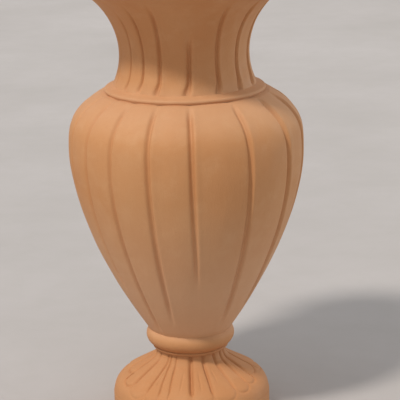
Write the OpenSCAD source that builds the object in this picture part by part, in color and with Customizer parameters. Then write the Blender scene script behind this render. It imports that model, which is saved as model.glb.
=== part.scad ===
// Fluted terracotta amphora on a bell-shaped foot.
// The vessel stands on the plane z = 0 with its axis on Z. It is made of moulded
// clay sections that are stacked and luted together, each one a separate piece.

/* [Body] */
// Radius at the girth, the widest place of the body
girth_r = 200; // [190:1:210]
// Radius of the opening edge of the shoulder, on the outside
shoulder_top_r = 142; // [140:1:144]
// Height of the shoulder, from the girth to the neck joint
shoulder_h = 99; // [95:1:105]
// Height of the bowl, from the collar to the girth
bowl_h = 323; // [310:1:335]
// Outside radius of the bowl at its floor
bowl_base_r = 70; // [67:1:71]
// Thickness of the clay wall
wall = 14; // [12:1:16]

/* [Neck] */
// Radius of the neck at its waist
neck_waist_r = 109.5; // [105:0.5:112]
// Radius of the hollow curve that the neck follows from flange to rim
neck_sweep = 126; // [122:1:128]
// Height of the neck's waist above the neck joint
neck_waist_rise = 62; // [58:1:66]
// Outside radius of the flange at the foot of the neck
flange_r = 136; // [135:1:140]
// Thickness of the flange
flange_t = 8; // [6:1:10]
// Outside radius of the rolled rim
rim_r = 207; // [203:1:210]
// Radius of the roll itself
rim_roll_r = 10.5; // [9:0.5:12]

/* [Collar] */
// Outside radius of the torus collar
collar_r = 77; // [75:1:80]
// Radius of the torus section
collar_tube_r = 18; // [17:0.5:19]
// Outside radius of the thin fillet under the collar
fillet_r = 65; // [63:0.5:67]
// Height of the fillet
fillet_h = 8; // [6:1:9]

/* [Foot] */
// Radius of the foot
foot_r = 136.5; // [130:0.5:142]
// Height of the plain band that the foot stands on
band_h = 35; // [30:1:45]
// Width of the band's ring, from outside to inside
band_w = 26; // [22:1:30]
// Radius of the round edge of the bell
bell_edge_r = 35; // [33:1:37]
// Height of the foot, where its waist meets the fillet
foot_h = 112; // [110:1:116]
// Radius of the foot at its waist
foot_waist_r = 60; // [59:0.5:62]
// Radius of the hollow curve between the slope of the bell and the waist
foot_sweep = 20; // [18:1:22]
// Diameter of the drain bore through the spigot
drain_d = 25; // [20:1:30]

/* [Grooves] */
// Width of a groove on the body
groove_w = 8; // [6:0.5:10]
// Depth of a groove on the body
groove_d = 5; // [3:0.5:6]
// Number of grooves round the foot
foot_groove_count = 20; // [18:1:24]

/* [Hidden] */
$fn = 96;

// Powers of the two curves that meet at the girth
bowl_power = 1.72;
shoulder_power = 3.2;
bowl_steps = 12;
shoulder_steps = 8;

// Levels, from the ground up
fillet_top_z = foot_h + fillet_h;
collar_z = fillet_top_z + collar_tube_r;
bowl_z = collar_z + 10;
girth_z = bowl_z + bowl_h;
shoulder_top_z = girth_z + shoulder_h;
bed_t = 2;
neck_z = shoulder_top_z + bed_t;
waist_z = neck_z + neck_waist_rise;
rim_z = waist_z + neck_sweep - 0.5;

// Azimuths of the grooves of body and neck in degrees, divided by eye. 0 faces -Y
groove_azimuths = [4, 32, 56, 77, 99, 122, 145, 168, 191, 215, 239, 263, 287, 304, 321, 342];

// Joints
lap_h = 12;
lap_t = 6;
floor_t = 14;
spigot_r = 42;
spigot_z = 92;
spigot_head_t = 10;
spigot_head_r = 56;
foot_bed_t = 2.5;
tongue_h = 6;
tongue_gap = 1.5;
coil_h = 34;
coil_t = 8;
foot_wall = foot_waist_r - spigot_r - foot_bed_t;

// How far the grooving tool stands clear of the clay where it does not cut
lift = 1.5;

// Neck: the wall lies between two circles about one centre outside the neck
sweep_x = neck_waist_r + neck_sweep;
neck_wall_end_r = rim_r - 1.6 * rim_roll_r;
neck_cut_r = 90;
bed_r = neck_waist_r + 14.5;
flange_in_r = neck_waist_r + 12;
neck_groove_d = 4;
neck_groove_rise = 7;
neck_groove_w = 7;

// Bell of the foot: its slope touches a round edge below and a hollow curve above
bell_edge = [foot_r - bell_edge_r, band_h];
bell_hollow = [foot_waist_r + foot_sweep, foot_h];
bell_span = bell_hollow - bell_edge;
bell_slope = acos((bell_edge_r + foot_sweep) / norm(bell_span)) - atan2(-bell_span[0], bell_span[1]);
bell_normal = [sin(bell_slope), cos(bell_slope)];
// The slope bites this far into the hollow curve, so that the two faces meet at a clear edge
bell_bite = 0.1;

// Foot grooves
foot_groove_w = 8;
foot_groove_d = 4;
foot_groove_border = 10;

clay = "#c4713f";
clay_deep = "#a65a33";
slip = "#b9a186";

// Outside radius of the body, and its slope, at height z
function above(z) = (z - girth_z) / shoulder_h;
function below(z) = (girth_z - z) / bowl_h;
function body_r(z) = z > girth_z
    ? girth_r - (girth_r - shoulder_top_r) * pow(above(z), shoulder_power)
    : girth_r - (girth_r - bowl_base_r) * pow(below(z), bowl_power);
function body_slope(z) = z > girth_z
    ? (girth_r - shoulder_top_r) * shoulder_power / shoulder_h * pow(above(z), shoulder_power - 1)
    : (girth_r - bowl_base_r) * bowl_power / bowl_h * pow(below(z), bowl_power - 1);
function cavity_r(z) = body_r(z) - wall * sqrt(1 + pow(body_slope(z), 2));
function heights(z0, z1, steps) = [for (i = [0:steps]) z0 + (z1 - z0) * i / steps];
function reversed(list) = [for (i = [len(list) - 1:-1:0]) list[i]];

// Groove i of the body starts fading out at its own height above the collar
function groove_low_z(i) = bowl_z + 70 + 22 * sin(137 * i + 200);
// Depth of a body groove at height z. It fades towards both ends, and the tool is clear of the clay past them
function soft(t) = sin(90 * min(1, max(0, t)));
function groove_depth(i, z) = -lift + (groove_d + lift)
    * soft((z - groove_low_z(i)) / 110) * soft((shoulder_top_z + 4 - z) / 24);

module ring(r_in, r_out, z0, z1) {
    rotate_extrude()
        translate([r_in, z0])
            square([r_out - r_in, z1 - z0]);
}

// Half section of the body wall between two heights
module wall_section(z0, z1, steps) {
    zs = heights(z0, z1, steps);
    polygon(concat([for (z = zs) [body_r(z), z]], [for (z = reversed(zs)) [cavity_r(z), z]]));
}

// Half section of all that lies inside the body's outer face
module body_section(z0, z1, steps) {
    polygon(concat([for (z = heights(z0, z1, steps)) [body_r(z), z]], [[0, z1], [0, z0]]));
}

// Turns a half section drawn in x and y into a plate of width w at an azimuth
module plate_at(azimuth, w) {
    rotate([0, 0, azimuth - 90])
        rotate([90, 0, 0])
            linear_extrude(w, center = true)
                children();
}

// The part of every body groove between two heights
module body_grooves(z0, z1, steps) {
    for (i = [0:len(groove_azimuths) - 1])
        plate_at(groove_azimuths[i], groove_w)
            polygon(concat([for (z = heights(z0, z1, steps)) [body_r(z) - groove_depth(i, z), z]],
                           [[girth_r + wall, z1], [girth_r + wall, z0]]));
}

// Half section of the foot above the band, drawn in from its outer face by inset
module foot_section(inset) {
    intersection() {
        translate(bell_edge)
            circle(bell_edge_r - inset);
        translate(bell_edge)
            square(bell_edge_r);
    }
    difference() {
        polygon([[0, band_h], bell_edge, bell_edge + (bell_edge_r - inset) * bell_normal,
                 bell_hollow - (foot_sweep + inset - bell_bite) * bell_normal, bell_hollow, [0, foot_h]]);
        translate(bell_hollow)
            circle(foot_sweep + inset);
    }
}

module foot_grooves() {
    for (i = [0:foot_groove_count - 1])
        plate_at(i * 360 / foot_groove_count, foot_groove_w)
            difference() {
                translate([foot_waist_r - foot_groove_d, band_h + foot_groove_border])
                    square([foot_r, foot_h - band_h - foot_groove_border - 3]);
                foot_section(foot_groove_d);
            }
}

// Half section of the neck wall
module neck_section() {
    intersection() {
        difference() {
            translate([sweep_x, waist_z])
                circle(neck_sweep + wall);
            translate([sweep_x, waist_z])
                circle(neck_sweep);
        }
        translate([0, neck_z])
            square([neck_wall_end_r, rim_z + rim_roll_r - neck_z]);
    }
}

module foot_ring() {
    color(clay_deep)
    union() {
        ring(foot_r - band_w, foot_r, 0, band_h);
        ring(foot_r - band_w, foot_r - foot_wall - tongue_gap, band_h, band_h + tongue_h);
    }
}

module foot() {
    color(clay)
    difference() {
        rotate_extrude()
            difference() {
                foot_section(0);
                foot_section(foot_wall);
            }
        ring(0, spigot_r + foot_bed_t, band_h, foot_h + 1);
        foot_grooves();
    }
}

module foot_bed() {
    color(slip)
    ring(spigot_r, spigot_r + foot_bed_t, spigot_z, foot_h);
}

module collar_fillet() {
    color(clay_deep)
    rotate_extrude() {
        translate([spigot_r, foot_h])
            square([fillet_r - fillet_h / 2 - spigot_r, fillet_h]);
        translate([fillet_r - fillet_h / 2, foot_h + fillet_h / 2])
            circle(fillet_h / 2);
    }
}

module collar_ring() {
    centre_x = collar_r - collar_tube_r;
    color(clay)
    rotate_extrude()
        difference() {
            union() {
                translate([spigot_r, fillet_top_z])
                    square([centre_x - spigot_r, 2 * collar_tube_r]);
                translate([centre_x, collar_z])
                    circle(collar_tube_r);
            }
            body_section(bowl_z, girth_z, bowl_steps);
        }
}

module spigot() {
    head_z = bowl_z + floor_t;
    color(slip)
    difference() {
        union() {
            ring(0, spigot_r, spigot_z, head_z);
            ring(0, spigot_head_r, head_z, head_z + spigot_head_t);
        }
        translate([0, 0, spigot_z - 1])
            cylinder(h = head_z + spigot_head_t - spigot_z + 2, d = drain_d);
    }
}

module bowl() {
    tongue_r = cavity_r(girth_z);
    color(clay)
    difference() {
        union() {
            rotate_extrude()
                wall_section(bowl_z, girth_z, bowl_steps);
            rotate_extrude()
                polygon([[spigot_r, bowl_z], [cavity_r(bowl_z) + 4, bowl_z],
                         [cavity_r(bowl_z + floor_t) + 4, bowl_z + floor_t], [spigot_r, bowl_z + floor_t]]);
            ring(tongue_r, tongue_r + lap_t, girth_z, girth_z + lap_h);
        }
        body_grooves(bowl_z, girth_z, bowl_steps);
    }
}

module girth_coil() {
    inner_r = cavity_r(girth_z);
    color(slip)
    rotate_extrude()
        difference() {
            translate([inner_r - coil_t, girth_z - coil_h / 2])
                square([coil_t, coil_h]);
            wall_section(bowl_z, girth_z, bowl_steps);
            wall_section(girth_z, shoulder_top_z, shoulder_steps);
        }
}

module shoulder() {
    tongue_r = cavity_r(girth_z);
    color(clay)
    difference() {
        rotate_extrude()
            wall_section(girth_z, shoulder_top_z, shoulder_steps);
        ring(tongue_r - wall, tongue_r + lap_t, girth_z - 1, girth_z + lap_h);
        body_grooves(girth_z, shoulder_top_z, shoulder_steps);
    }
}

module neck_bed() {
    color(slip)
    ring(cavity_r(shoulder_top_z) + 2, bed_r, shoulder_top_z, neck_z);
}

module neck_flange() {
    edge_r = flange_r - flange_t / 2;
    color(clay_deep)
    rotate_extrude()
        difference() {
            union() {
                translate([bed_r, shoulder_top_z])
                    square([edge_r - bed_r, flange_t]);
                translate([flange_in_r, neck_z])
                    square([edge_r - flange_in_r, flange_t - bed_t]);
                translate([edge_r, shoulder_top_z + flange_t / 2])
                    circle(flange_t / 2);
            }
            neck_section();
        }
}

module neck() {
    color(clay)
    difference() {
        rotate_extrude()
            neck_section();
        for (azimuth = groove_azimuths)
            rotate([0, 0, azimuth - 90])
                translate([neck_waist_r - neck_groove_d + neck_cut_r, 0, waist_z + neck_groove_rise])
                    rotate([90, 0, 0])
                        cylinder(h = neck_groove_w, r = neck_cut_r, center = true);
    }
}

module rim_roll() {
    color(clay)
    rotate_extrude() {
        translate([neck_wall_end_r, rim_z - rim_roll_r])
            square([rim_r - rim_roll_r - neck_wall_end_r, 2 * rim_roll_r]);
        translate([rim_r - rim_roll_r, rim_z])
            circle(rim_roll_r);
    }
}

foot_ring();
foot();
foot_bed();
collar_fillet();
collar_ring();
spigot();
bowl();
girth_coil();
shoulder();
neck_bed();
neck_flange();
neck();
rim_roll();
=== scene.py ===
"""Looks of the fluted terracotta amphora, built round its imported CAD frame.

Sections and reliefs are worked out in millimetres and meshes are made in metres. An azimuth is in
degrees, 0 towards the camera (-Y) and positive to its right (+X).
"""
import math

import bpy
import numpy as np
from mathutils import Matrix, Vector


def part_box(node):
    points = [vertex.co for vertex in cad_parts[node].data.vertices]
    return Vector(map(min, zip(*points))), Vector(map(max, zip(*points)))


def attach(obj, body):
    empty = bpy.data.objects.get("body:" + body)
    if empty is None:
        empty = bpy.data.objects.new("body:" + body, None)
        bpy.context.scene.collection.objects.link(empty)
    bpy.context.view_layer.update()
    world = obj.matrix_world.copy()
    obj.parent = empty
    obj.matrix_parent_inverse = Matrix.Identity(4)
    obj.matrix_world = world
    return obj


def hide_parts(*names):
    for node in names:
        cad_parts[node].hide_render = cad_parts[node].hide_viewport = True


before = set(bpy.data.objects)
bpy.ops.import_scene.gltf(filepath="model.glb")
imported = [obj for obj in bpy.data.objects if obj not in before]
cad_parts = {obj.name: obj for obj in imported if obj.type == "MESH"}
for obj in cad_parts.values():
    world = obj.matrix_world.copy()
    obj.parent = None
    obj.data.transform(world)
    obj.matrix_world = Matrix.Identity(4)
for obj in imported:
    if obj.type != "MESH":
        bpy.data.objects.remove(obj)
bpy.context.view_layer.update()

MM = 0.001

# ---------------------------------------------------------------- sizes from the frame


def top_of(node):
    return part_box(node)[1].z / MM


def foot_of(node):
    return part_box(node)[0].z / MM


def radius_of(node):
    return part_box(node)[1].x / MM


GIRTH_R = radius_of("bowl")
GIRTH_Z = foot_of("shoulder")
BOWL_Z = foot_of("bowl")
SHOULDER_TOP_Z = top_of("shoulder")
NECK_Z = foot_of("neck")
BAND_H = foot_of("foot")
FOOT_TOP_Z = top_of("foot")
FOOT_R = radius_of("foot_ring")
RIM_R = radius_of("rim_roll")
RIM_TOP_Z = top_of("rim_roll")
RIM_ROLL_R = (RIM_TOP_Z - foot_of("rim_roll")) / 2
FLANGE_R = radius_of("neck_flange")
FLANGE_T = top_of("neck_flange") - SHOULDER_TOP_Z
COLLAR_R = radius_of("collar_ring")
COLLAR_Z = foot_of("collar_ring")
FILLET_R = radius_of("collar_fillet")
FILLET_H = top_of("collar_fillet") - foot_of("collar_fillet")
SPIGOT_Z = foot_of("spigot")
SPIGOT_TOP_Z = top_of("spigot")
SPIGOT_HEAD_R = radius_of("spigot")
COIL_R = radius_of("girth_coil")

# Shape of the clay where the boxes don't give it, as the CAD model has it
WALL = 14
SHOULDER_TOP_R = 142
BOWL_BASE_R = 70
SHOULDER_POWER = 3.2
BOWL_POWER = 1.72
NECK_WAIST_R = 109.5
NECK_SWEEP = 126
NECK_SWEEP_R = NECK_WAIST_R + NECK_SWEEP
NECK_WAIST_Z = NECK_Z + 62
NECK_BED_R = NECK_WAIST_R + 14.5
RIM_INNER_R = RIM_R - 1.6 * RIM_ROLL_R
COLLAR_TUBE_R = 18
BELL_EDGE_R = 35
FOOT_WAIST_R = 60
FOOT_SWEEP = 20
FOOT_WALL = 15.5
TONGUE_GAP = 1.5
SPIGOT_R = 42
DRAIN_R = 12.5
LAP_T = 6
LAP_H = 12
COIL_T = 8
COIL_H = 34
FLOOR_T = 14
BAND_W = 26
CHAMFER = 3

# Details that the CAD model leaves plain: the thin lip under the collar, and how far the collar's underside
# stands back from the lip's edge, and the cove that blends the flange into the neck
LIP_R = FILLET_R + 1.5
LIP_T = 4.4
LIP_SHELF = 1.4
COVE_H = 4.2

# Spacing of the mesh along a section, and across a groove in degrees from its middle. ONE_STEP is longer
# than any face, so a straight line drawn with it has no points between its corners.
STEP = 3.2
INSIDE_STEP = 4.5
FOOT_STEP = 1.5
ONE_STEP = 1000
NEAR_GROOVE = np.array([0, 0.3, 0.6, 0.9, 1.25, 1.6, 2.0, 2.4, 2.9, 3.4, 4.1, 5.0])
ACROSS_LOBE = 5
# Points that a curve is worked out at before it is divided evenly
CURVE_SAMPLES = 400
# Points of a section that are closer than this are one point
SAME_POINT = 0.05
# An edge sharper than this, in degrees, is shaded as a corner
SHARP_ANGLE = 32
# Depth in mm at which the crease attribute is 1
CREASE_SCALE = 4.5

# Grooves of the body: azimuths at three levels from the top down, height of the low end in mm, and
# strengths at the top and the low end. The spacing is uneven, because a potter divides a pot by eye.
GROOVE_LEVELS = (560, 400, 240)
BODY_GROOVES = (
    (2.6, 3.0, 5.8, 250, 1.25, 0.75),
    (31.5, 32.3, 35.0, 160, 1.0, 0.95),
    (55.8, 60.0, 63.0, 180, 1.05, 1.0),
    (77.5, 81.0, 83.5, 175, 1.0, 0.9),
    (99, 100.5, 102, 190, 1.0, 0.9),
    (122, 122.5, 123, 170, 1.0, 0.9),
    (145, 145, 145.5, 185, 1.0, 0.85),
    (168, 168, 168, 170, 1.0, 0.9),
    (191, 190.5, 190, 190, 0.9, 0.8),
    (215, 214.5, 214, 175, 1.0, 0.9),
    (239, 238, 237, 185, 0.9, 0.8),
    (263, 262, 261, 170, 1.0, 0.9),
    (287, 286.5, 286, 190, 0.65, 0.7),
    (304.5, 303.5, 302, 220, 0.7, 0.7),
    (321.8, 321.2, 320.5, 140, 0.8, 1.1),
    (341.5, 341.8, 342, 168, 1.0, 1.0),
)
# Grooves of the neck: azimuth, heights of the low and the top end, strength
NECK_GROOVES = (
    (4, 580, 688, 1.3),
    (29, 580, 744, 1.0),
    (52, 581, 742, 1.0),
    (74, 583, 740, 1.0),
    (97, 580, 734, 0.9),
    (120, 582, 743, 1.0),
    (143, 580, 732, 0.9),
    (166, 583, 740, 1.0),
    (189, 580, 735, 0.9),
    (212, 582, 744, 1.0),
    (236, 581, 733, 0.9),
    (260, 580, 741, 1.0),
    (288, 583, 735, 0.8),
    (307.5, 581, 722, 0.75),
    (322, 583, 738, 0.9),
    (339, 580, 742, 1.15),
)
# Grooves between the fingers of the foot: azimuths at the low and the top level and strength, and for the
# finger that follows the height of its tip and how plainly the tip shows
FOOT_LEVELS = (66, 100)
FOOT_GROOVES = (
    (0, 0, 1.6, 50, 0.5),
    (18, 19.5, 1.25, 51, 0.5),
    (38, 40, 1.1, 57, 0.6),
    (54, 57, 0.95, 63, 0.8),
    (68.5, 71, 1.2, 69, 1.0),
    (90, 92, 0.9, 60, 1.0),
    (110, 111, 1.0, 58, 1.0),
    (130, 130, 1.1, 56, 0.8),
    (150, 149, 0.9, 57, 1.0),
    (170, 169, 1.0, 55, 0.7),
    (190, 190, 1.1, 56, 1.0),
    (209, 209, 0.9, 58, 0.9),
    (228, 227, 1.0, 57, 1.1),
    (247, 245, 1.1, 60, 0.8),
    (266, 263, 1.0, 71, 1.35),
    (286, 281.5, 1.1, 60.5, 1.4),
    (303, 299, 1.1, 50, 0.35),
    (320.5, 320, 0.8, 49, 0.3),
    (332.5, 326, 0.62, 49, 0.3),
    (341.5, 335, 0.62, 49, 0.3),
)
# Short creases that a tool left on the backs of some fingers: azimuth, height, half length
FOOT_CREASES = (
    (-34, 80, 9),
    (-10, 78, 9),
    (8.5, 79, 10),
    (26, 84, 9),
    (61, 84, 9),
    (134, 82, 11),
    (206, 84, 9),
    (260, 80, 10),
)

# Depth and half width of a groove of strength 1, and of a tool's crease
BODY_GROOVE_D = 4.2
BODY_GROOVE_W = 4.3
NECK_GROOVE_D = 4.3
NECK_GROOVE_W = 2.8
FOOT_GROOVE_D = 4.4
FOOT_GROOVE_W = 2.3
CREASE_D = 0.9
CREASE_W = 1.7
# The two sides of a groove, as factors on the distance from its middle, and the burr on the steep side. The
# burr's height is a share of the groove's depth, and its place and two widths are in half widths of it.
STEEP_SIDE = 1.25
GENTLE_SIDE = 0.9
BURR = 0.34
BURR_PLACE = 1.45
BURR_NEAR = 0.55
BURR_FAR = 1.7
# How far the low ends of the neck's grooves hook aside, in degrees
NECK_HOOK = 2.2
# Fall of a lobe's surface from its middle to its grooves
LOBE_PILLOW = 1.5
NECK_PILLOW = 0.6
FINGER_PILLOW = 0.9
# The foot's fingers: how far they stand up, how far the border between tips and band lies back, the dip
# round a plain tip, and a tip's length in half widths of its finger. All start just above the band.
FINGER_RISE = 0.6
BORDER_DROP = 0.9
TIP_DIP = 1.8
TIP_ROUND = 0.8
BELL_FOOT_Z = BAND_H + 1
# How far the band stands out beyond the bell
BAND_PROUD = 0.6
# Marks of the thumb round the coil inside: how many, and how deep
THUMB_MARKS = 40
THUMB_DEPTH = 1.2

# ---------------------------------------------------------------- section curves


def smooth(t):
    t = np.clip(t, 0, 1)
    return t * t * (3 - 2 * t)


def rising(z, start, over):
    """0 below the height start, and 1 from the distance over above it."""
    return smooth((z - start) / over)


def falling(z, end, over):
    """1 up to the distance over below the height end, and 0 above it."""
    return smooth((end - z) / over)


def body_radius(z):
    z = np.asarray(z, float)
    up = (z - GIRTH_Z) / (SHOULDER_TOP_Z - GIRTH_Z)
    down = (GIRTH_Z - z) / (GIRTH_Z - BOWL_Z)
    shoulder = (GIRTH_R - SHOULDER_TOP_R) * np.clip(up, 0, None) ** SHOULDER_POWER
    bowl = (GIRTH_R - BOWL_BASE_R) * np.clip(down, 0, None) ** BOWL_POWER
    return GIRTH_R - shoulder - bowl


def cavity_radius(z):
    z = np.asarray(z, float)
    slope = body_radius(z + 0.5) - body_radius(z - 0.5)
    return body_radius(z) - WALL * np.sqrt(1 + slope**2)


def neck_radius(z):
    """Radius of the neck's outer face, an arc round a centre outside it."""
    return NECK_SWEEP_R - math.sqrt(NECK_SWEEP**2 - (NECK_WAIST_Z - z) ** 2)


def curve(radius, z0, z1, step=STEP):
    """Section points along radius(z) from z0 to z1."""
    z = np.linspace(z0, z1, CURVE_SAMPLES)
    return resampled(np.column_stack([radius(z), z]), step)


def arc(centre, radius, start, end, step=STEP):
    """Section points on a circle, with angles in degrees from +r towards +z."""
    count = max(3, round(abs(math.radians(end - start)) * radius / step) + 1)
    a = np.radians(np.linspace(start, end, count))
    return np.column_stack([centre[0] + radius * np.cos(a), centre[1] + radius * np.sin(a)])


def run(*points, step=STEP):
    """Section points along straight lines between corners, each corner kept."""
    parts = []
    for p, q in zip(points, points[1:]):
        p, q = np.array(p, float), np.array(q, float)
        count = max(1, round(np.linalg.norm(q - p) / step))
        parts.append(p + (q - p) * np.linspace(0, 1, count + 1)[:, None])
    return joined(*parts)


def resampled(points, step):
    length = lengths(points)
    even = np.linspace(0, length[-1], max(2, round(length[-1] / step) + 1))
    return np.column_stack([np.interp(even, length, points[:, k]) for k in (0, 1)])


def joined(*runs, closed=False):
    """One run of points from several, without the points that they share."""
    points = np.concatenate(runs)
    keep = np.concatenate([[True], np.linalg.norm(np.diff(points, axis=0), axis=1) > SAME_POINT])
    points = points[keep]
    if closed and np.linalg.norm(points[0] - points[-1]) < SAME_POINT:
        points = points[:-1]
    return points


def ring_loop(outer, inner):
    """Closed section loop: up the outer face, then down the inner one."""
    return joined(outer, inner, outer[:1], closed=True)


def lengths(points):
    """Distance along a run of points from its first one."""
    return np.concatenate([[0], np.cumsum(np.linalg.norm(np.diff(points, axis=0), axis=1))])


def foot_face(inset, step):
    """The foot's section from the band up to the lip, drawn in by inset."""
    edge = np.array([FOOT_R - BELL_EDGE_R, BAND_H])
    hollow = np.array([FOOT_WAIST_R + FOOT_SWEEP, FOOT_TOP_Z])
    span = hollow - edge
    touch = math.acos((BELL_EDGE_R + FOOT_SWEEP) / np.linalg.norm(span))
    slope = math.degrees(touch - math.atan2(-span[0], span[1]))
    low = arc(edge, BELL_EDGE_R - inset, 0, 90 - slope, step)
    high = arc(hollow, FOOT_SWEEP + inset, 270 - slope, 180, step)
    return joined(low, run(low[-1], high[0], step=step), high)


FOOT_OUTER = foot_face(0, FOOT_STEP)
FOOT_LENGTH = lengths(FOOT_OUTER)

# ---------------------------------------------------------------- hand work in the clay


def wobble(azimuth, z):
    """How far the hand-built wall stands off a true circle: a few slow waves that drift with height."""
    a = np.radians(azimuth)
    return (
        0.55 * np.sin(2 * a + 0.9 + 0.004 * z)
        + 0.35 * np.sin(3 * a - 1.7 + 0.011 * z)
        + 0.22 * np.sin(5 * a + 2.1 - 0.023 * z)
        + 0.14 * np.sin(9 * a + 0.4 + 0.047 * z)
        + 0.10 * np.sin(4 * a - 0.081 * z)
    )


def from_groove(azimuth, centre, radius):
    """Distance in mm along the surface from a groove's middle."""
    return np.radians((azimuth - centre + 180) % 360 - 180) * radius


def round_ring(centres):
    """Columns of azimuths, with the first column once more after a full turn."""
    return np.concatenate([centres, centres[:, :1] + 360], axis=1)


def body_centres(z):
    """Azimuths of the body's grooves at heights z, one column for each groove.

    Each runs on a parabola through its azimuths at the three levels, held a little beyond them.
    """
    top, middle, low = np.array([g[:3] for g in BODY_GROOVES], float).T
    step = GROOVE_LEVELS[0] - GROOVE_LEVELS[1]
    t = np.clip((GROOVE_LEVELS[1] - z) / step, -1.1, 1.2)[:, None]
    return middle + t * (low - top) / 2 + t**2 * ((low + top) / 2 - middle)


def body_relief(azimuth, r, z):
    """Depth of the body's grooves, and how far its lobes fall away from their crests."""
    centres = body_centres(z)
    depth = np.zeros_like(azimuth)
    for k, (_, _, _, low_z, high, low) in enumerate(BODY_GROOVES):
        width = BODY_GROOVE_W * (0.8 + 0.2 * rising(z, low_z, 160))[:, None]
        d = from_groove(azimuth, centres[:, k : k + 1], r[:, None]) / width
        ends = falling(z, SHOULDER_TOP_Z + 1, 18) * rising(z, low_z, 60)
        strength = low + (high - low) * rising(z, GROOVE_LEVELS[2], 260)
        depth += BODY_GROOVE_D * (ends * strength)[:, None] * groove_section(d)
    fall = LOBE_PILLOW * (1 - lobe_swell(azimuth, centres)) * rising(z, 180, 120)[:, None]
    return -fall - depth


def groove_section(d):
    """Depth across a groove, 1 in its middle.

    The side of growing azimuth is steeper, and ends in a low burr of clay that the tool pushed up.
    """
    from_burr = d - BURR_PLACE
    burr = BURR * np.exp(-((from_burr / np.where(from_burr > 0, BURR_FAR, BURR_NEAR)) ** 2))
    side = np.abs(np.where(d > 0, d * STEEP_SIDE, d * GENTLE_SIDE))
    return np.exp(-(side**2.5)) - burr


def lobe_swell(azimuth, centres):
    """1 in the middle of each lobe and 0 at its grooves."""
    ring = round_ring(centres)
    swell = np.zeros_like(azimuth)
    for k in range(centres.shape[1]):
        start, end = ring[:, k : k + 1], ring[:, k + 1 : k + 2]
        t = ((azimuth - start) % 360) / (end - start)
        swell = np.where(t < 1, 1 - (2 * t - 1) ** 2, swell)
    return swell


def neck_centres(z):
    """Azimuths of the neck's grooves at heights z, with a hook where the tool left the clay."""
    k = np.arange(len(NECK_GROOVES))
    azimuths = np.array([g[0] for g in NECK_GROOVES], float)
    hook = NECK_HOOK * falling(z, 604, 22)[:, None]
    return azimuths - hook + 0.5 * np.sin(z[:, None] / 48 + 1.9 * k)


def neck_relief(azimuth, r, z):
    """Depth of the neck's grooves, which widen towards both ends."""
    centres = neck_centres(z)
    depth = np.zeros_like(azimuth)
    for k, (_, low_z, top_z, strength) in enumerate(NECK_GROOVES):
        flare = 0.7 * falling(z, low_z + 26, 26) + 0.3 * rising(z, top_z - 50, 40)
        width = NECK_GROOVE_W * strength * (1 + flare[:, None])
        d = from_groove(azimuth, centres[:, k : k + 1], r[:, None]) / width
        ends = rising(z, low_z - 3, 8) * falling(z, top_z, 40)
        deeper_below = 0.8 + 0.2 * falling(z, 640, 40)
        depth += NECK_GROOVE_D * strength * (ends * deeper_below)[:, None] * groove_section(d)
    lobes = rising(z, NECK_Z + 12, 30) * falling(z, 740, 60)
    fall = NECK_PILLOW * (1 - lobe_swell(azimuth, centres)) * lobes[:, None]
    return -fall - depth


def foot_centres(z):
    """Azimuths of the foot's grooves at heights z, one column for each groove."""
    low_z, top_z = FOOT_LEVELS
    t = np.clip((z - low_z) / (top_z - low_z), 0, 1)[:, None]
    low, top = np.array([g[:2] for g in FOOT_GROOVES], float).T
    k = np.arange(len(FOOT_GROOVES))
    return low + (top - low) * t + 0.4 * np.sin(z[:, None] / 21 + 2.1 * k)


def foot_relief(azimuth, r, z):
    """Fingers that fan out over the bell and end in round tips, with grooves between them."""
    ring = round_ring(foot_centres(z))
    along = np.interp(z, FOOT_OUTER[:, 1], FOOT_LENGTH)[:, None]
    border = -BORDER_DROP * rising(z, BELL_FOOT_Z, 9)[:, None]
    rise = FINGER_RISE * (rising(z, BELL_FOOT_Z, 12) * falling(z, 86, 16))[:, None]
    shallower_above = (1 - 0.3 * rising(z, 88, 14))[:, None]
    relief = np.zeros_like(azimuth)
    for k, (_, _, strength, tip_z, tip_strength) in enumerate(FOOT_GROOVES):
        start, end = ring[:, k : k + 1], ring[:, k + 1 : k + 2]
        half = np.radians(end - start) * r[:, None] / 2
        across = from_groove(azimuth, (start + end) / 2, r[:, None]) / half
        tip = np.interp(tip_z, FOOT_OUTER[:, 1], FOOT_LENGTH)
        round_tip = TIP_ROUND * half
        beyond = np.clip(tip + round_tip - along, 0, None) / round_tip
        reach = np.hypot(across, beyond)
        gap = (1 - reach) * half
        shank = smooth((along - tip - round_tip) / 16)
        next_strength = FOOT_GROOVES[(k + 1) % len(FOOT_GROOVES)][2]
        side = strength + (next_strength - strength) * smooth(across + 0.5)
        deep = FOOT_GROOVE_D * side * shallower_above
        dip = TIP_DIP * tip_strength
        edge = BORDER_DROP + dip + (deep - BORDER_DROP - dip) * shank
        near_edge = np.exp(-((gap / (FOOT_GROOVE_W * side)) ** 2))
        finger = -FINGER_PILLOW * reach**2.4 - (edge - FINGER_PILLOW) * near_edge
        outside = border - dip * near_edge
        inside = np.abs(across) <= 1
        relief = np.where(inside, np.where(gap > 0, finger, outside), relief)
    for centre, height, half_length in FOOT_CREASES:
        up = z[:, None] - height
        d = from_groove(azimuth, centre + 0.03 * up, r[:, None]) / CREASE_W
        relief -= CREASE_D * np.exp(-(d**2) - (up / half_length) ** 4)
    return relief + rise


def throwing_rings(azimuth, _, z):
    """Finger rings on an inside face, which climb a little on each turn.

    The climb is not a whole number of waves, so the rings break off at the mesh's first column.
    """
    spiral = z[:, None] + azimuth * 0.06
    return 0.5 * np.sin(spiral / 2.9) + 0.25 * np.sin(spiral / 7.3 + 1)


# ---------------------------------------------------------------- meshes


def plain_columns(count):
    def columns(z):
        return np.tile(np.linspace(0, 360, count, endpoint=False), (len(z), 1))

    return columns


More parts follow.
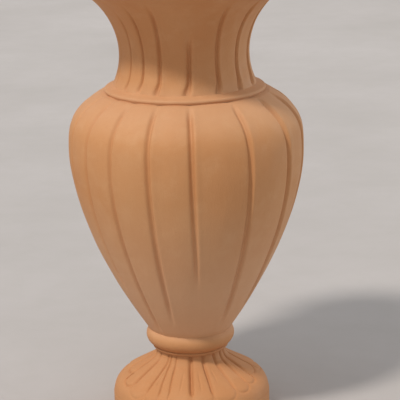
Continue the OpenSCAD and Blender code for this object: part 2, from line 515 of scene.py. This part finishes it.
def groove_columns(centres_at):
    """Mesh columns that follow the grooves: close together across each one and wider on the lobes."""
    near = NEAR_GROOVE
    across = np.linspace(0, 1, ACROSS_LOBE)[1:-1]

    def columns(z):
        centres = centres_at(z)
        width = np.diff(round_ring(centres), axis=1)
        runs = []
        for k in range(centres.shape[1]):
            start, w = centres[:, k : k + 1], width[:, k : k + 1]
            middle = near[-1] + (w - 2 * near[-1]) * across
            runs += [start + near, start + middle, start + w - near[:0:-1]]
        return np.concatenate(runs, axis=1)

    return columns


def lathe(name, loop, columns, relief, material):
    """A closed ring of clay: loop is its section, and relief moves its faces along their normals.

    relief is a list of (mask over the loop's points, function of azimuth, radius and height). Each mask
    marks one face, and the face alone gives its normals, so that the corners at its ends stay square.
    The crease attribute tells the material how deep each point lies in a groove, which the material darkens
    as painted shade.
    """
    r, z = loop.T
    azimuth = columns(z)
    normal = np.zeros_like(loop)
    push = np.zeros_like(azimuth)
    for mask, _ in relief:
        tangent = np.gradient(loop[mask], axis=0)
        tangent /= np.linalg.norm(tangent, axis=1)[:, None]
        normal[mask] = np.column_stack([tangent[:, 1], -tangent[:, 0]])
    for mask, shape in relief:
        push += np.where(mask[:, None], shape(azimuth, r, z), 0)
    radius = r[:, None] + normal[:, :1] * push + wobble(azimuth, z[:, None])
    height = z[:, None] + normal[:, 1:] * push
    a = np.radians(azimuth)
    points = np.stack([radius * np.sin(a), -radius * np.cos(a), height], axis=-1) * MM
    rows, count = azimuth.shape
    index = np.arange(rows * count).reshape(rows, count)
    right, up = np.roll(index, -1, axis=1), np.roll(index, -1, axis=0)
    faces = np.stack([index, right, np.roll(up, -1, axis=1), up], axis=-1).reshape(-1, 4)
    mesh = bpy.data.meshes.new(name)
    mesh.from_pydata(points.reshape(-1, 3).tolist(), [], faces.tolist())
    mesh.validate()
    crease = mesh.attributes.new("crease", "FLOAT", "POINT")
    crease.data.foreach_set("value", np.clip(-push / CREASE_SCALE, -1, 1.5).astype(np.float32).ravel())
    for polygon in mesh.polygons:
        polygon.use_smooth = True
    mesh.set_sharp_from_angle(angle=math.radians(SHARP_ANGLE))
    piece = bpy.data.objects.new(name, mesh)
    bpy.context.scene.collection.objects.link(piece)
    mesh.materials.append(material)
    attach(piece, "root")
    return piece


# ---------------------------------------------------------------- materials


class Nodes:
    """A small helper that makes shader nodes and links them."""

    def __init__(self, name):
        self.material = bpy.data.materials.new(name)
        self.material.use_nodes = True
        self.tree = self.material.node_tree
        self.shader = self.tree.nodes["Principled BSDF"]
        self.place = self.add("ShaderNodeTexCoord").outputs["Object"]

    def add(self, kind, **settings):
        node = self.tree.nodes.new(kind)
        for key, value in settings.items():
            setattr(node, key, value)
        return node

    def link(self, source, target):
        self.tree.links.new(source, target)

    def put(self, socket, value):
        if isinstance(value, bpy.types.NodeSocket):
            self.link(value, socket)
        else:
            socket.default_value = value

    def noise(self, scale, detail=3.0, roughness=0.5, distortion=0.0, stretch=None):
        node = self.add("ShaderNodeTexNoise")
        node.inputs["Scale"].default_value = scale
        node.inputs["Detail"].default_value = detail
        node.inputs["Roughness"].default_value = roughness
        node.inputs["Distortion"].default_value = distortion
        place = self.place
        if stretch:
            mapping = self.add("ShaderNodeMapping")
            mapping.inputs["Scale"].default_value = stretch
            self.link(place, mapping.inputs["Vector"])
            place = mapping.outputs["Vector"]
        self.link(place, node.inputs["Vector"])
        return node.outputs["Fac"]

    def pits(self, scale):
        node = self.add("ShaderNodeTexVoronoi", feature="F1")
        node.inputs["Scale"].default_value = scale
        self.link(self.place, node.inputs["Vector"])
        return node.outputs["Distance"]

    def ramp(self, value, low, high, to_low=0.0, to_high=1.0):
        node = self.add("ShaderNodeMapRange")
        for key, number in (("From Min", low), ("From Max", high), ("To Min", to_low), ("To Max", to_high)):
            node.inputs[key].default_value = number
        self.link(value, node.inputs["Value"])
        return node.outputs["Result"]

    def math(self, operation, a, b):
        node = self.add("ShaderNodeMath", operation=operation)
        self.put(node.inputs[0], a)
        self.put(node.inputs[1], b)
        return node.outputs["Value"]

    def mix(self, amount, a, b):
        node = self.add("ShaderNodeMix", data_type="RGBA")
        self.put(node.inputs["Factor"], amount)
        self.put(node.inputs[6], a)
        self.put(node.inputs[7], b)
        return node.outputs[2]

    def crease(self):
        return self.add("ShaderNodeAttribute", attribute_name="crease").outputs["Fac"]

    def height(self):
        node = self.add("ShaderNodeSeparateXYZ")
        self.link(self.place, node.inputs["Vector"])
        return node.outputs["Z"]

    def rise(self, heights, top=1.0):
        """0 below the lower of two heights in mm, and top above the upper one."""
        low, high = heights
        return self.ramp(self.height(), low * MM, high * MM, 0, top)

    def fall(self, heights, top=1.0):
        """top below the lower of two heights in mm, and 0 above the upper one."""
        low, high = heights
        return self.ramp(self.height(), high * MM, low * MM, 0, top)

    def bump(self, height, distance, strength=1.0, normal=None):
        node = self.add("ShaderNodeBump")
        node.inputs["Strength"].default_value = strength
        node.inputs["Distance"].default_value = distance
        self.link(height, node.inputs["Height"])
        if normal:
            self.link(normal, node.inputs["Normal"])
        return node.outputs["Normal"]


def linear(red, green, blue):
    """A display colour from 0 to 255 as the linear colour that shaders take."""
    tones = [(c / 255 / 12.92) if c <= 10 else ((c / 255 + 0.055) / 1.055) ** 2.4 for c in (red, green, blue)]
    return (*tones, 1.0)


# Heights in mm between which the clay's colour changes: painted light on the shoulder, painted bounce light
# on the lower bowl, and the darker foot
PAINTED_LIGHT_SHOULDER_Z = (515, 555)
PAINTED_LIGHT_SHOULDER_END_Z = (575, 600)
PAINTED_BOUNCE_BOWL_Z = (240, 420)
PAINTED_BOUNCE_BOWL_END_Z = (140, 160)
FOOT_TONE_Z = (120, 150)


def terracotta():
    """Fired clay: cloudy and sandy, with painted light on the shoulder, painted bounce light on the lower
    bowl, painted shade in the grooves, and a darker foot.
    """
    n = Nodes("terracotta")
    base = linear(203, 149, 102)
    warm = linear(199, 140, 91)
    pale = linear(213, 165, 121)
    # darker tone for the real grain and specks, for the painted shade in the grooves and for the darker foot
    dirt_and_shade = linear(176, 116, 72)
    # pale tone that paints light on the shoulder and bounce light on the lower bowl
    pale_painted_light = linear(216, 173, 139)
    cloud = n.ramp(n.noise(7, 4, 0.55, 0.3), 0.35, 0.68)
    colour = n.mix(cloud, base, warm)
    blotch = n.ramp(n.noise(26, 5, 0.6, 0.2), 0.5, 0.78, 0, 0.45)
    colour = n.mix(blotch, colour, pale)
    streak = n.ramp(n.noise(60, 4, 0.6, 0.1, stretch=(1, 1, 0.12)), 0.45, 0.8, 0, 0.22)
    colour = n.mix(streak, colour, warm)
    grain = n.ramp(n.noise(900, 2, 0.7), 0.35, 0.7, 0, 0.16)
    colour = n.mix(grain, colour, dirt_and_shade)
    speck = n.ramp(n.noise(420, 1, 0.5), 0.7, 0.76, 0, 0.3)
    colour = n.mix(speck, colour, dirt_and_shade)
    # painted shade: the grooves are darkened by their depth, patchily
    patchy = n.ramp(n.noise(45, 4, 0.6), 0.3, 0.6, 0.3, 1)
    groove_painted_shade = n.math("MULTIPLY", n.ramp(n.crease(), 0.3, 1.0, 0, 0.12), patchy)
    colour = n.mix(groove_painted_shade, colour, dirt_and_shade)
    # painted light: the shoulder is paled where light falls on its top
    shoulder_painted_light = n.math("MULTIPLY", n.rise(PAINTED_LIGHT_SHOULDER_Z, 0.3), n.fall(PAINTED_LIGHT_SHOULDER_END_Z))
    colour = n.mix(shoulder_painted_light, colour, pale_painted_light)
    # painted bounce light: the lower bowl is paled as if lit from the floor
    bowl_painted_bounce = n.math("MULTIPLY", n.fall(PAINTED_BOUNCE_BOWL_Z, 0.55), n.rise(PAINTED_BOUNCE_BOWL_END_Z))
    colour = n.mix(bowl_painted_bounce, colour, pale_painted_light)
    colour = n.mix(n.fall(FOOT_TONE_Z, 0.35), colour, dirt_and_shade)
    n.link(colour, n.shader.inputs["Base Color"])
    n.link(n.ramp(n.noise(35, 4, 0.6), 0.3, 0.7, 0.62, 0.8), n.shader.inputs["Roughness"])
    n.shader.inputs["IOR"].default_value = 1.45
    n.shader.inputs["Specular IOR Level"].default_value = 0.35
    soft = n.bump(n.noise(55, 4, 0.55, stretch=(1, 1, 0.35)), 0.0009)
    sand = n.bump(n.noise(650, 3, 0.7), 0.00018, normal=soft)
    pit = n.bump(n.ramp(n.pits(240), 0.0, 0.22, 0, 1), 0.00012, 0.6, normal=sand)
    n.link(pit, n.shader.inputs["Normal"])
    return n.material


def rough_clay():
    """Clay that was wiped but not smoothed, for the pieces inside."""
    n = Nodes("terracotta_inner")
    colour = n.mix(n.ramp(n.noise(14, 5, 0.6), 0.35, 0.7), linear(182, 126, 88), linear(198, 148, 110))
    colour = n.mix(n.ramp(n.noise(300, 3, 0.7), 0.4, 0.75, 0, 0.35), colour, linear(140, 92, 62))
    n.link(colour, n.shader.inputs["Base Color"])
    n.shader.inputs["Roughness"].default_value = 0.9
    n.shader.inputs["Specular IOR Level"].default_value = 0.2
    wipe = n.bump(n.noise(120, 4, 0.6, stretch=(1, 1, 3.5)), 0.0012)
    n.link(n.bump(n.noise(500, 3, 0.7), 0.0004, normal=wipe), n.shader.inputs["Normal"])
    return n.material


def dried_slip():
    """Pale sandy slip of the two beds."""
    n = Nodes("slip_mortar")
    colour = n.mix(n.ramp(n.noise(60, 4, 0.6), 0.3, 0.7), linear(176, 150, 124), linear(196, 172, 146))
    n.link(colour, n.shader.inputs["Base Color"])
    n.shader.inputs["Roughness"].default_value = 0.95
    n.link(n.bump(n.noise(380, 4, 0.7), 0.0008), n.shader.inputs["Normal"])
    return n.material


CLAY = terracotta()
INSIDE = rough_clay()
SLIP = dried_slip()

# ---------------------------------------------------------------- pieces


def inside_face(loop, low, high):
    """True on the points of a body section that lie on its inside face between two heights."""
    deep = loop[:, 0] < body_radius(loop[:, 1]) - WALL * 0.8
    return deep & (loop[:, 1] > low) & (loop[:, 1] < high)


def make_bowl():
    """Lower half of the body, with a tongue on top that laps inside the shoulder."""
    face_run = curve(body_radius, BOWL_Z, GIRTH_Z)
    floor_z = BOWL_Z + FLOOR_T
    tongue = run(
        (GIRTH_R, GIRTH_Z),
        (GIRTH_R - WALL + LAP_T, GIRTH_Z),
        (GIRTH_R - WALL + LAP_T, GIRTH_Z + LAP_H),
        (GIRTH_R - WALL, GIRTH_Z + LAP_H),
        (GIRTH_R - WALL, GIRTH_Z),
        step=ONE_STEP,
    )
    cavity = curve(cavity_radius, GIRTH_Z, floor_z, INSIDE_STEP)
    floor_r = float(cavity_radius(floor_z))
    floor = run((floor_r, floor_z), (SPIGOT_R, floor_z), (SPIGOT_R, BOWL_Z), (BOWL_BASE_R, BOWL_Z))
    loop = ring_loop(face_run, joined(tongue, cavity, floor))
    face = np.arange(len(loop)) < len(face_run)
    inside = inside_face(loop, floor_z + 6, GIRTH_Z - 8)
    relief = [(face, body_relief), (inside, throwing_rings)]
    piece = lathe("bowl_fluted", loop, groove_columns(body_centres), relief, CLAY)
    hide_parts("bowl")


def make_shoulder():
    """Upper half of the body, cut back inside at its foot for the bowl's tongue."""
    face_run = curve(body_radius, GIRTH_Z, SHOULDER_TOP_Z)
    top_r = float(cavity_radius(SHOULDER_TOP_Z))
    lap_r = float(cavity_radius(GIRTH_Z + LAP_H))
    top = run((SHOULDER_TOP_R, SHOULDER_TOP_Z), (top_r, SHOULDER_TOP_Z), step=ONE_STEP)
    lap = run(
        (lap_r, GIRTH_Z + LAP_H),
        (GIRTH_R - WALL + LAP_T, GIRTH_Z + LAP_H),
        (GIRTH_R - WALL + LAP_T, GIRTH_Z),
        (GIRTH_R, GIRTH_Z),
        step=ONE_STEP,
    )
    loop = ring_loop(face_run, joined(top, curve(cavity_radius, SHOULDER_TOP_Z, GIRTH_Z + LAP_H), lap))
    face = np.arange(len(loop)) < len(face_run)
    inside = inside_face(loop, GIRTH_Z + LAP_H + 4, SHOULDER_TOP_Z - 6)
    relief = [(face, body_relief), (inside, throwing_rings)]
    piece = lathe("shoulder_fluted", loop, groove_columns(body_centres), relief, CLAY)
    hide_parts("shoulder")


def make_neck():
    """Trumpet whose two faces are arcs round one centre, up to where each meets the rim's inner edge."""
    centre = (NECK_SWEEP_R, NECK_WAIST_Z)
    thick = NECK_SWEEP + WALL
    reach = NECK_SWEEP_R - RIM_INNER_R
    rise_out, rise_in = [math.sqrt(sweep**2 - reach**2) for sweep in (NECK_SWEEP, thick)]
    drop = NECK_WAIST_Z - NECK_Z

    def angle(rise, radius):
        return 180 - math.degrees(math.asin(rise / radius))

    outer = arc(centre, NECK_SWEEP, angle(-drop, NECK_SWEEP), angle(rise_out, NECK_SWEEP))
    inner = joined(
        run((RIM_INNER_R, NECK_WAIST_Z + rise_out), (RIM_INNER_R, NECK_WAIST_Z + rise_in)),
        arc(centre, thick, angle(rise_in, thick), angle(-drop, thick)),
    )
    loop = ring_loop(outer, inner)
    face = np.arange(len(loop)) < len(outer)
    inside = ~face & (loop[:, 1] > NECK_Z + 6) & (loop[:, 1] < NECK_WAIST_Z + rise_in - 12)
    relief = [(face, neck_relief), (inside, throwing_rings)]
    piece = lathe("neck_fluted", loop, groove_columns(neck_centres), relief, CLAY)
    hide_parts("neck")


def make_rim():
    """Lip rolled outwards, with a chamfer on its inner edge."""
    centre = (RIM_R - RIM_ROLL_R, RIM_TOP_Z - RIM_ROLL_R)
    low = RIM_TOP_Z - 2 * RIM_ROLL_R
    outer = arc(centre, RIM_ROLL_R, -90, 90, 1.5)
    inner = run((centre[0], RIM_TOP_Z), (RIM_INNER_R + CHAMFER, RIM_TOP_Z),
                (RIM_INNER_R, RIM_TOP_Z - CHAMFER), (RIM_INNER_R, low), (centre[0], low), step=1.5)
    piece = lathe("rim_rolled", ring_loop(outer, inner), plain_columns(360), [], CLAY)
    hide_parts("rim_roll")


def make_flange():
    """Roll round the foot of the neck, with a cove that is smoothed up into the neck's face."""
    half = FLANGE_T / 2
    top = SHOULDER_TOP_Z + FLANGE_T
    roll = arc((FLANGE_R - half, SHOULDER_TOP_Z + half), half, -50, 60, 0.7)
    cove_end = np.array([neck_radius(top + COVE_H) - 0.4, top + COVE_H])
    cove_bend = np.array([neck_radius(top + 2) + 1.5, top + 2.5])
    t = np.linspace(0, 1, 10)[:, None]
    cove = (1 - t) ** 2 * roll[-1] + 2 * t * (1 - t) * cove_bend + t**2 * cove_end
    under = run((roll[0][0], SHOULDER_TOP_Z), roll[0])
    inner = run(cove_end, (neck_radius(top), top), (neck_radius(NECK_Z), NECK_Z), (NECK_BED_R, NECK_Z),
                (NECK_BED_R, SHOULDER_TOP_Z), under[0], step=1.5)
    loop = ring_loop(joined(under, roll, cove), inner)
    piece = lathe("flange_ring", loop, plain_columns(360), [], CLAY)
    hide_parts("neck_flange")


def make_collar():
    """Torus that runs straight down to the lip on its underside."""
    centre = (COLLAR_R - COLLAR_TUBE_R, COLLAR_Z + COLLAR_TUBE_R)
    crease_z = top_of("collar_ring")
    crease_angle = math.degrees(math.asin((crease_z - centre[1]) / COLLAR_TUBE_R))
    torus = arc(centre, COLLAR_TUBE_R, -62, crease_angle, 1.8)
    edge = (LIP_R - LIP_SHELF, COLLAR_Z)
    outer = joined(run(edge, torus[0], step=1.8), torus)
    inner = run((torus[-1][0], crease_z), (BOWL_BASE_R, BOWL_Z), (SPIGOT_R, BOWL_Z),
                (SPIGOT_R, COLLAR_Z), edge)
    piece = lathe("collar_torus", ring_loop(outer, inner), plain_columns(300), [], CLAY)
    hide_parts("collar_ring")


def make_fillet():
    """Short neck of the foot, with a thin round lip at its top."""
    top = FOOT_TOP_Z + FILLET_H
    centre = (LIP_R - LIP_T / 2, top - LIP_T / 2)
    lip = arc(centre, LIP_T / 2, -90, 90, 0.6)
    outer = joined(run((FOOT_WAIST_R, FOOT_TOP_Z), (FOOT_WAIST_R, top - LIP_T), lip[0], step=1.2), lip)
    inner = run((centre[0], top), (SPIGOT_R, top), (SPIGOT_R, FOOT_TOP_Z), (FOOT_WAIST_R, FOOT_TOP_Z), step=2)
    piece = lathe("collar_lip", ring_loop(outer, inner), plain_columns(300), [], CLAY)
    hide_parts("collar_fillet")


def make_foot():
    """Hollow bell with fingers on its outer face."""
    loop = ring_loop(FOOT_OUTER, foot_face(FOOT_WALL, INSIDE_STEP)[::-1])
    face = np.arange(len(loop)) < len(FOOT_OUTER)
    piece = lathe("foot_fluted", loop, plain_columns(900), [(face, foot_relief)], CLAY)
    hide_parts("foot")


def make_foot_ring():
    """Band that the foot stands on, with a tongue inside the bell and a small round at its upper edge."""
    tongue_r = FOOT_R - FOOT_WALL - TONGUE_GAP
    tongue_top = top_of("foot_ring")
    inner_r = FOOT_R - BAND_W
    edge_r = FOOT_R + BAND_PROUD
    round_r = 0.8
    outer = joined(
        run((edge_r - CHAMFER, 0), (edge_r, CHAMFER), (edge_r, BAND_H - round_r)),
        arc((edge_r - round_r, BAND_H - round_r), round_r, 0, 90, 0.4),
    )
    inner = run((edge_r - round_r, BAND_H), (tongue_r, BAND_H), (tongue_r, tongue_top), (inner_r, tongue_top),
                (inner_r, CHAMFER), (inner_r + CHAMFER, 0), (edge_r - CHAMFER, 0))
    piece = lathe("base_band", ring_loop(outer, inner), plain_columns(300), [], CLAY)
    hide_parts("foot_ring")


def make_spigot():
    """Hollow tenon whose head lies on the bowl's floor."""
    head_z = BOWL_Z + FLOOR_T
    head_edge = (SPIGOT_HEAD_R - CHAMFER, SPIGOT_TOP_Z)
    outer = run((SPIGOT_R, SPIGOT_Z), (SPIGOT_R, head_z), (SPIGOT_HEAD_R, head_z),
                (SPIGOT_HEAD_R, SPIGOT_TOP_Z - CHAMFER), head_edge)
    inner = run(head_edge, (DRAIN_R + CHAMFER, SPIGOT_TOP_Z), (DRAIN_R, SPIGOT_TOP_Z - CHAMFER),
                (DRAIN_R, SPIGOT_Z + 2), (DRAIN_R + 2, SPIGOT_Z), (SPIGOT_R, SPIGOT_Z))
    piece = lathe("drain_spigot", ring_loop(outer, inner), plain_columns(160), [], INSIDE)
    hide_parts("spigot")


def make_girth_coil():
    """Coil pressed with the thumb over the seam of bowl and shoulder, inside."""
    inner_r = COIL_R - COIL_T
    low, high = GIRTH_Z - COIL_H / 2, GIRTH_Z + COIL_H / 2
    low_r, high_r = float(cavity_radius(low)), float(cavity_radius(high))
    outer = run((low_r, low), (COIL_R, GIRTH_Z), (high_r, high))
    inner = run((high_r, high), (inner_r + 5, high), (inner_r, high - 6), (inner_r, low + 6),
                (inner_r + 5, low), (low_r, low))
    loop = ring_loop(outer, inner)

    def thumb_marks(azimuth, _, z):
        presses = 0.5 + 0.5 * np.cos(np.radians(azimuth * THUMB_MARKS))
        return -THUMB_DEPTH * presses * (rising(z, low, 8) * falling(z, high, 8))[:, None]

    pressed = [(loop[:, 0] < inner_r + 1, thumb_marks)]
    piece = lathe("girth_coil_pressed", loop, plain_columns(480), pressed, INSIDE)
    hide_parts("girth_coil")


def finish_beds():
    """The two beds of slip keep their CAD meshes and get the slip's material."""
    for bed in ("neck_bed", "foot_bed"):
        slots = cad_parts[bed].data.materials
        slots.clear()
        slots.append(SLIP)


make_rim()
make_neck()
make_flange()
make_shoulder()
make_bowl()
make_girth_coil()
make_spigot()
make_collar()
make_fillet()
make_foot()
make_foot_ring()
finish_beds()

# ---------------------------------------------------------------- floor, light and camera

FLOOR_R = 40
# Strength of the sky's light at the horizon and overhead
HORIZON_LIGHT = 0.31
ZENITH_LIGHT = 0.84
SKY_COLOUR = (0.95, 0.975, 1.0, 1)
# The camera: the point on the axis that it looks at, its angle above the floor, its distance in metres,
# the tilt of its frame in degrees, its lens and sensor in mm, and its shift
SIGHT_Z = 376
CAMERA_ELEVATION = 15
CAMERA_DISTANCE = 3.004
CAMERA_ROLL = -1.29
CAMERA_LENS = 157.5
CAMERA_SENSOR = 36
CAMERA_SHIFT = 0.03125


def make_floor():
    """A wide plain pale floor."""
    n = Nodes("pale_floor")
    tone = n.mix(n.ramp(n.noise(1.6, 5, 0.6), 0.3, 0.7), linear(174, 168, 164), linear(184, 178, 175))
    tone = n.mix(n.ramp(n.noise(14, 5, 0.65), 0.45, 0.75, 0, 0.25), tone, linear(170, 164, 158))
    n.link(tone, n.shader.inputs["Base Color"])
    n.shader.inputs["Roughness"].default_value = 0.85
    bpy.ops.mesh.primitive_circle_add(vertices=96, radius=FLOOR_R, fill_type="NGON", location=(0, 0, 0))
    floor = bpy.context.object
    floor.name = "floor"
    floor.data.materials.append(n.material)


def direction(azimuth, elevation):
    """Unit vector from the vessel towards azimuth and elevation in degrees."""
    a, e = math.radians(azimuth), math.radians(elevation)
    return Vector((math.sin(a) * math.cos(e), -math.cos(a) * math.cos(e), math.sin(e)))


def add_sun(name, azimuth, elevation, energy, angle, colour):
    data = bpy.data.lights.new(name, "SUN")
    data.energy = energy
    data.angle = math.radians(angle)
    data.color = colour
    lamp = bpy.data.objects.new(name, data)
    lamp.rotation_mode = "QUATERNION"
    lamp.rotation_quaternion = (-direction(azimuth, elevation)).to_track_quat("-Z", "Y")
    bpy.context.scene.collection.objects.link(lamp)


def make_light():
    """Soft studio light: a warm key, a cool fill, a faint bounce, and a sky that is brighter overhead."""
    add_sun("key", azimuth=-42, elevation=54, energy=2.05, angle=8, colour=(1.0, 0.955, 0.9))
    add_sun("fill", azimuth=116, elevation=8, energy=0.7, angle=20, colour=(0.83, 0.93, 1.0))
    add_sun("bounce", azimuth=-78, elevation=0, energy=0.3, angle=25, colour=(1.0, 0.95, 0.9))
    world = bpy.data.worlds.new("studio")
    world.use_nodes = True
    tree = world.node_tree
    background = tree.nodes["Background"]
    place = tree.nodes.new("ShaderNodeTexCoord")
    split = tree.nodes.new("ShaderNodeSeparateXYZ")
    bright = tree.nodes.new("ShaderNodeMapRange")
    bright.inputs["To Min"].default_value = HORIZON_LIGHT
    bright.inputs["To Max"].default_value = ZENITH_LIGHT
    tree.links.new(place.outputs["Generated"], split.inputs["Vector"])
    tree.links.new(split.outputs["Z"], bright.inputs["Value"])
    tree.links.new(bright.outputs["Result"], background.inputs["Strength"])
    background.inputs["Color"].default_value = SKY_COLOUR
    bpy.context.scene.world = world


def make_camera():
    data = bpy.data.cameras.new("camera")
    data.sensor_width = CAMERA_SENSOR
    data.lens = CAMERA_LENS
    data.shift_x = CAMERA_SHIFT
    camera = bpy.data.objects.new("camera", data)
    back = direction(0, CAMERA_ELEVATION)
    camera.location = Vector((0, 0, SIGHT_Z * MM)) + back * CAMERA_DISTANCE
    level = (-back).to_track_quat("-Z", "Y").to_matrix().to_4x4()
    roll = Matrix.Rotation(math.radians(CAMERA_ROLL), 4, "Z")
    camera.rotation_mode = "QUATERNION"
    camera.rotation_quaternion = (level @ roll).to_quaternion()
    bpy.context.scene.collection.objects.link(camera)
    bpy.context.scene.camera = camera


make_floor()
make_light()
make_camera()
view = bpy.context.scene.view_settings
view.view_transform = "Standard"
view.look = "None"
